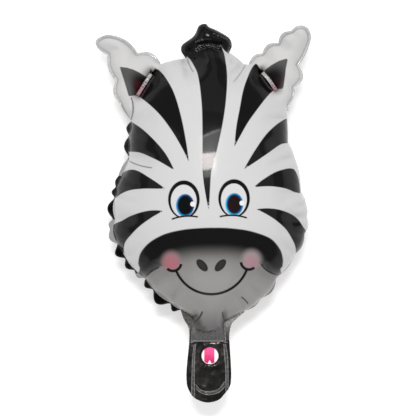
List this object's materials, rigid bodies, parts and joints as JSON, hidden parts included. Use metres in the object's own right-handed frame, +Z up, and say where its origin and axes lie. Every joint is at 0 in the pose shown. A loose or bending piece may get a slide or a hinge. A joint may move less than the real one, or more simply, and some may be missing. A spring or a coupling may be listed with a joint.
{
  "type": "zebra foil balloon",
  "caption": "Air-filled foil balloon in the shape of a smiling zebra's head, with ears, a mane tuft and a flat valve tail, lying on its back.",
  "frame": {"origin": "middle of the small flat spot on the back that the balloon lies on", "axes": "+Z up, out of the face; +Y from the valve tail to the mane tuft; +X to the viewer's right"},
  "size_m": [0.2223, 0.3934, 0.1344],
  "materials": {
    "printed_foil": "glossy printed foil film, white front with black stripes, black back",
    "valve_film": "clear film with a pink printed strip"
  },
  "bodies": {
    "root": {"foil_envelope": "printed_foil", "valve_film": "valve_film"}
  },
  "joints": []
}
